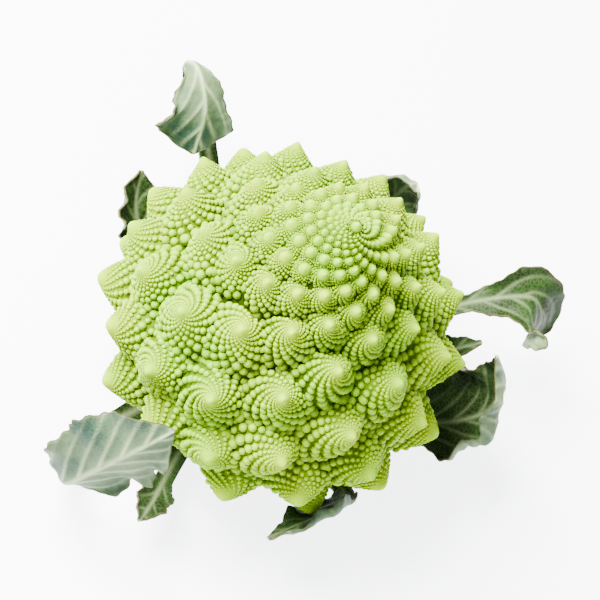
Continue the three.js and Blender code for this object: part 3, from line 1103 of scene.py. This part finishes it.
@dataclass
class Leaf:
    """A wrapper leaf with a stalk, a midrib, side veins and a ruffled, lobed blade."""

    shape: LeafShape
    stations: int = 132
    strips: int = 44
    blade_thickness: float = 0.0010
    rib_thickness: float = 0.0024
    rib_half_width: float = 0.0030
    stalk_half_width: float = 0.0042
    stalk_base_half_width: float = 0.0065
    stalk_thickness: float = 0.005
    tip_half_width: float = 0.0012
    blade_fullness: float = 0.8
    lobe_relief: float = 0.1
    lobes: int = 4
    tooth_relief: float = 0.035
    teeth: int = 15
    vein_spacing: float = 0.013
    vein_slant: float = 1.7
    vein_width: float = 0.0016
    vein_height: float = 0.0006
    side_veins: float = 0.7
    pucker: float = 0.0014
    flat_share: float = 0.6
    least_roll: float = 0.001
    roll_change: float = 0.3
    roll_changes: float = 9.0
    stump_radius: float = 0.0293
    stalk_taper: float = 0.6
    stalk_edge: float = 0.45
    joint: tuple[float, float] = (0.75, 1.1)
    blade_start: float = 0.2
    vein_start: float = 0.08
    vein_reach: float = 0.6
    least_taper: float = 0.15
    midrib_widths: tuple[float, float] = (0.0018, 0.0007)
    frill_share: float = 0.8
    frill_ratio: float = 3.3
    upper_relief: float = 0.35
    upper_veins: float = 0.3
    margin: float = 0.93
    edge_tones: tuple[float, float] = (0.6, 0.3)

    def blade_share(self, along: np.ndarray) -> np.ndarray:
        """Share of the blade that lies behind a place along the midrib."""
        return np.clip((along - self.shape.petiole) / (1.0 - self.shape.petiole), 0.0, 1.0)

    def half_width(self, along: np.ndarray) -> np.ndarray:
        """Half the width of the stalk or blade along the midrib.

        Args:
            along: Shares of the length.

        Returns:
            Half the width at each.
        """
        shape = self.shape
        tapered = smoothstep(along, 0.0, self.stalk_taper * shape.petiole)
        stalk = mix(self.stalk_base_half_width, self.stalk_half_width, tapered)
        share = self.blade_share(along)
        power = math.log(0.5) / math.log(shape.fullest)
        swelling = np.sin(math.pi * share ** power).clip(0.0) ** self.blade_fullness
        blade = shape.width / 2 * MM * swelling
        lobed = blade * (1.0 + self.lobe_relief * np.sin(2 * math.pi * self.lobes * share))
        toothed = lobed * (1.0 + self.tooth_relief * np.sin(2 * math.pi * self.teeth * share))
        least = mix(self.stalk_half_width, self.tip_half_width, share)
        return np.where(along < shape.petiole, stalk, np.maximum(toothed, least))

    def thickness(self, along: np.ndarray, lateral: np.ndarray) -> np.ndarray:
        """Thickness of the stalk, midrib and blade.

        Args:
            along: Shares of the length.
            lateral: Distances from the midrib.

        Returns:
            The thickness at each place.
        """
        rib = np.exp(-((lateral / self.rib_half_width) ** 2))
        blade = self.blade_thickness + self.rib_thickness * (1.0 - self.blade_share(along)) * rib
        stalk = self.stalk_thickness * mix(self.stalk_edge, 1.0, rib)
        low, high = (share * self.shape.petiole for share in self.joint)
        return mix(stalk, blade, smoothstep(along, low, high))

    def vein_place(self, along: np.ndarray, lateral: np.ndarray, length: float) -> np.ndarray:
        """Place of a point among the side veins, a whole number on each of them."""
        slanted = along * length - self.vein_slant * np.abs(lateral)
        return slanted / self.vein_spacing + 0.5 * (lateral > 0)

    def veins(self, along: np.ndarray, lateral: np.ndarray, length: float) -> np.ndarray:
        """How much a place on the blade is vein: 1 on the midrib and on the side veins.

        Args:
            along: Shares of the length.
            lateral: Distances from the midrib.
            length: The midrib's length.

        Returns:
            The share of vein at each place.
        """
        place = self.vein_place(along, lateral, length)
        nearest = np.abs(place - np.round(place)) * self.vein_spacing
        taper = 1.0 - np.abs(lateral) / (self.vein_reach * self.shape.width * MM)
        taper = np.clip(taper, self.least_taper, 1.0)
        side = np.exp(-((nearest / (self.vein_width * mix(0.5, 1.0, taper))) ** 2)) * taper
        begun = smoothstep(along, self.shape.petiole, self.shape.petiole + self.vein_start)
        side = side * self.side_veins * begun
        middle = np.exp(-((lateral / mix(*self.midrib_widths, along)) ** 2))
        return np.clip(np.maximum(side, middle), 0.0, 1.0)

    def roll(
        self, along: np.ndarray, side: np.ndarray, full: np.ndarray
    ) -> tuple[np.ndarray, np.ndarray, np.ndarray]:
        """Rolls the margins up or down.

        Args:
            along: Shares of the length, one in each row.
            side: Places across, -1 to 1, in one row.
            full: Distance from the midrib to the margin.

        Returns:
            Distances from the midrib, heights gained and angles turned.
        """
        share = self.blade_share(along)
        most = np.radians(np.where(side > 0, self.shape.rolls[1], self.shape.rolls[0]))
        change = 1.0 + self.roll_change * np.sin(self.roll_changes * share + self.shape.phase)
        turn = most * np.sqrt(np.sin(math.pi * share).clip(0.0)) * change
        turn = np.where(np.abs(turn) < self.least_roll, self.least_roll, turn)
        straight = self.flat_share * full
        width = full * np.abs(side)
        angle = turn * np.clip(width - straight, 0.0, None) / (full - straight)
        bend = (full - straight) / turn
        reach = np.minimum(width, straight) + bend * np.sin(angle)
        return reach, bend * (1.0 - np.cos(angle)), angle

    def build(self, material: bpy.types.Material) -> None:
        """Builds the leaf as one closed sheet.

        Args:
            material: The leaf's material.
        """
        shape = self.shape
        curve = RibCurve(np.array([polar(*place) for place in shape.midrib]))
        root = slice(0, curve.samples)
        reaches = np.linalg.norm(curve.line[root, :2], axis=1)
        start = float(np.interp(self.stump_radius, reaches, curve.lengths[root]))
        alongs = np.linspace(start / curve.length, 1.0, self.stations)
        points, uppers, acrosses = curve.frames(alongs)
        along = alongs[:, None]
        side = np.linspace(-1.0, 1.0, self.strips + 1)[None, :]
        blade = smoothstep(along, shape.petiole, shape.petiole + self.blade_start)
        full = self.half_width(along) * (1.0 + shape.lean * np.sign(side) * blade)
        lateral = full * side
        turns = 2 * math.pi * shape.waves * along
        ruffle = np.sin(turns + shape.phase + 2.0 * (side > 0))
        frill = np.sin(self.frill_ratio * turns + 2.0 * shape.phase + 1.1 * (side > 0))
        waved = shape.wave * (ruffle + self.frill_share * frill * np.abs(side))
        lift = np.abs(lateral * side) * (shape.cup + waved * blade)
        bulging = np.sin(math.pi * self.vein_place(along, lateral, curve.length)) ** 2
        lift = lift + self.pucker * bulging * blade * np.abs(side) * (1.2 - np.abs(side))
        veins = self.veins(along, lateral, curve.length)
        raised = self.vein_height * veins * blade
        reach, gained, angle = self.roll(along, side, full)
        outward = np.sign(side)[:, :, None] * acrosses[:, None]
        up = np.broadcast_to(uppers[:, None], outward.shape)
        normals = np.cos(angle)[:, :, None] * up - np.sin(angle)[:, :, None] * outward
        middles = points[:, None] + reach[:, :, None] * outward + (lift + gained)[:, :, None] * up
        depths = (-self.upper_relief * raised, -self.thickness(along, lateral) - raised)
        sheets = [middles + depth[:, :, None] * normals for depth in depths]
        grid = np.arange(veins.size).reshape(veins.shape)
        a, b, c, d = grid[:-1, :-1], grid[1:, :-1], grid[1:, 1:], grid[:-1, 1:]
        right = np.broadcast_to(side[:, :-1] >= 0.0, a.shape)[:, :, None]
        first = np.where(right, np.stack([a, b, c], -1), np.stack([a, b, d], -1))
        second = np.where(right, np.stack([a, c, d], -1), np.stack([b, c, d], -1))
        top = np.concatenate([first.reshape(-1, 3), second.reshape(-1, 3)])
        bottom = top[:, ::-1] + grid.size
        rim = np.concatenate([grid[:, 0], grid[-1, 1:], grid[-2::-1, -1], grid[0, -2:0:-1]])
        after = np.roll(rim, -1)
        wall = np.concatenate([
            np.stack([rim, rim + grid.size, after + grid.size], -1),
            np.stack([rim, after + grid.size, after], -1),
        ])
        edge = smoothstep(np.abs(side), self.margin, 1.0) * blade
        parts = MeshParts()
        parts.add(
            np.stack(sheets),
            np.concatenate([top, bottom, wall]),
            upper=np.stack([np.ones_like(veins), np.zeros_like(veins)]),
            vein=np.stack([self.upper_veins * veins, veins]),
            edge=np.stack([tone * edge for tone in self.edge_tones]),
        )
        place_piece(parts.make_object(shape.node + "_blade"), shape.node, material)


@dataclass
class Foot:
    """The stump with its cut face, and the branching underside that joins it to the head."""

    finish: StemFinish
    face_rings: tuple[float, ...] = (0.35, 0.7, 1.0)
    edge_cut: float = 0.3
    cut_radius: float = 0.026
    stem_radius: float = 0.029
    stem_top: float = 0.027
    bevel: float = 0.001
    sides: int = 96
    flute: float = 0.0006
    flutes: int = 9
    branches: int = 13
    branch_relief: float = 0.0022
    flare: float = 1.6
    underside_radius: float = 0.06
    underside_top: float = 0.046
    underside_offset: tuple[float, float] = (0.0048, 0.0051)
    seam: float = 0.0003

    def turned(
        self, profile: list[tuple[float, float, float, float]], name: str, branches: int
    ) -> bpy.types.Object:
        """Turns a closed profile round the axis.

        Args:
            profile: Radius, height, cut value and relief of each ring, from the foot to the top.
                The first and the last are the points on the axis.
            name: The object's name.
            branches: Flutes round it.

        Returns:
            The new object.
        """
        angles = round_angles(self.sides)
        rings, cuts = [], []
        for radius, height, cut, relief in profile[1:-1]:
            wavy = radius + relief * np.cos(branches * angles + 0.6 * np.sin(3 * angles))
            shift = smoothstep(radius, self.stem_radius, self.underside_radius)
            rings.append(np.stack([
                wavy * np.cos(angles) + shift * self.underside_offset[0],
                wavy * np.sin(angles) + shift * self.underside_offset[1],
                np.full(self.sides, height),
            ], axis=1))
            cuts.append(np.full(self.sides, cut))
        points = np.concatenate([*rings, [[0.0, 0.0, profile[0][1]], [0.0, 0.0, profile[-1][1]]]])
        parts = MeshParts()
        cuts = np.concatenate([*cuts, [profile[0][2], profile[-1][2]]])
        parts.add(points, closed_tube(len(rings), self.sides), cut=cuts)
        return parts.make_object(name)

    def build(self) -> None:
        """Builds the stump and the underside."""
        material = self.finish.material()
        face = self.cut_radius - self.bevel
        stump = [(0.0, 0.0, 1.0, 0.0)]
        stump += [(face * share, 0.0, 1.0, 0.0) for share in self.face_rings]
        stump.append((self.cut_radius, self.bevel, self.edge_cut, 0.0))
        for share in np.linspace(0.15, 1.0, 8):
            radius = mix(self.cut_radius, self.stem_radius, share) - self.flute
            stump.append((radius, self.stem_top * share, 0.0, self.flute))
        stump.append((0.0, self.stem_top, 0.0, 0.0))
        place_piece(self.turned(stump, "stump_cut", self.flutes), "stump", material)
        start = self.stem_top + self.seam
        under = [(0.0, start, 0.0, 0.0), (self.stem_radius - 0.001, start, 0.0, 0.0)]
        for share in np.linspace(0.12, 1.0, 10):
            radius = mix(self.stem_radius, self.underside_radius, share)
            height = mix(start, self.underside_top, share ** self.flare)
            relief = self.branch_relief * math.sin(math.pi * min(share * 1.1, 1.0))
            under.append((radius, height, 0.0, relief))
        under.append((0.0, self.underside_top + 0.02, 0.0, 0.0))
        underside = self.turned(under, "head_underside", self.branches)
        place_piece(underside, "head", material)


@dataclass
class Studio:
    """Plain pale floor, soft lights and the camera at the photograph's angle."""

    elevation: float = math.radians(56)
    roll: float = math.radians(48)
    distance: float = 1.2
    frame_width: float = 0.24
    image_size: int = 600
    apex_pixel: tuple[float, float] = (359.2, 224.0)
    apex_height: float = 0.165
    sensor: float = 36.0
    floor_size: float = 6.0
    floor_colour: Colour = (0.51, 0.525, 0.57)
    floor_roughness: float = 0.9
    floor_gloss: float = 0.1
    floor_light: Colour = (0.97, 0.985, 1.0)
    floor_glow: float = 4.6
    key_power: float = 400.0
    fill_power: float = 16.0
    light_target: float = 0.08
    light_distance: float = 1.6
    world_colour: Colour = (0.95, 0.98, 1.0)
    world_strength: float = 1.25

    def axes(self) -> tuple[Vector, Vector, Vector]:
        """The picture's right and up directions and the direction that it looks in.

        Returns:
            The three directions.
        """
        look = Vector((0.0, math.cos(self.elevation), -math.sin(self.elevation)))
        head_up = Vector((0.0, math.sin(self.elevation), math.cos(self.elevation)))
        aside = Vector((1.0, 0.0, 0.0))
        right = math.cos(self.roll) * head_up + math.sin(self.roll) * aside
        up = math.sin(self.roll) * head_up - math.cos(self.roll) * aside
        return right, up, look

    def add_camera(self) -> None:
        """Adds the camera so that the head's tip falls where the photograph has it."""
        right, up, look = self.axes()
        place = Vector((0.0, 0.0, self.apex_height)) - look * self.distance
        pixel = self.frame_width / self.image_size
        aside = (self.image_size / 2 - self.apex_pixel[0]) * pixel
        down = (self.image_size / 2 - self.apex_pixel[1]) * pixel
        ahead = (look * self.distance + right * aside - up * down).normalized()
        right = (right - ahead * right.dot(ahead)).normalized()
        data = bpy.data.cameras.new("camera")
        data.sensor_width = self.sensor
        data.lens = self.sensor * self.distance / self.frame_width
        data.clip_start, data.clip_end = 0.05, 20.0
        camera = add_object("camera", data)
        turn = Matrix((right, (-ahead).cross(right), -ahead)).transposed()
        camera.matrix_world = Matrix.Translation(place) @ turn.to_4x4()
        bpy.context.scene.camera = camera

    def add_light(
        self, name: str, direction: Triple, size: float, power: float, colour: Colour
    ) -> None:
        """Adds a soft square light that looks at the head.

        Args:
            name: The light's name.
            direction: Where it stands from the head.
            size: Its side, in metres.
            power: Its power, in watts.
            colour: Its colour.
        """
        data = bpy.data.lights.new(name, "AREA")
        data.size = size
        data.energy = power
        data.color = colour
        light = add_object(name, data)
        away = Vector(direction).normalized()
        light.location = Vector((0.0, 0.0, self.light_target)) + away * self.light_distance
        light.rotation_mode = "QUATERNION"
        light.rotation_quaternion = away.to_track_quat("Z", "Y")

    def add_floor(self) -> None:
        """Adds the floor that the head stands on."""
        half = self.floor_size / 2
        corners = [(-half, -half, 0.0), (half, -half, 0.0), (half, half, 0.0), (-half, half, 0.0)]
        mesh = bpy.data.meshes.new("floor")
        mesh.from_pydata(corners, [], [(0, 1, 2, 3)])
        floor = add_object("floor", mesh)
        shader = Shader("floor")
        shader.set({
            "Base Color": (*self.floor_colour, 1.0),
            "Roughness": self.floor_roughness,
            "Specular IOR Level": self.floor_gloss,
            "Emission Color": (*self.floor_light, 1.0),
            "Emission Strength": self.floor_glow,
        })
        mesh.materials.append(shader.material)

    def add_world(self) -> None:
        """Adds an even white surround."""
        world = bpy.data.worlds.new("surround")
        world.use_nodes = True
        background = world.node_tree.nodes["Background"]
        background.inputs["Color"].default_value = (*self.world_colour, 1.0)
        background.inputs["Strength"].default_value = self.world_strength
        bpy.context.scene.world = world

    def build(self) -> None:
        """Sets up the floor, the lights, the surround and the camera."""
        self.add_floor()
        self.add_world()
        self.add_light("key", (-0.7, -0.1, 0.85), 0.9, self.key_power, (1.0, 0.98, 0.88))
        self.add_light("fill", (0.75, -0.7, 0.55), 1.4, self.fill_power, (0.93, 0.97, 1.0))
        self.add_camera()


def main() -> None:
    """Builds the head, its leaves and its foot, then the studio round them."""
    logging.basicConfig(level=logging.INFO, format="%(name)s %(message)s")
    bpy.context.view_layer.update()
    Head(FloretSpiral(Crown()), CurdFinish()).build()
    leaf_material = LeafFinish().material()
    for shape in LEAVES:
        Leaf(shape).build(leaf_material)
    Foot(StemFinish()).build()
    Studio().build()


if __name__ == "__main__":
    main()
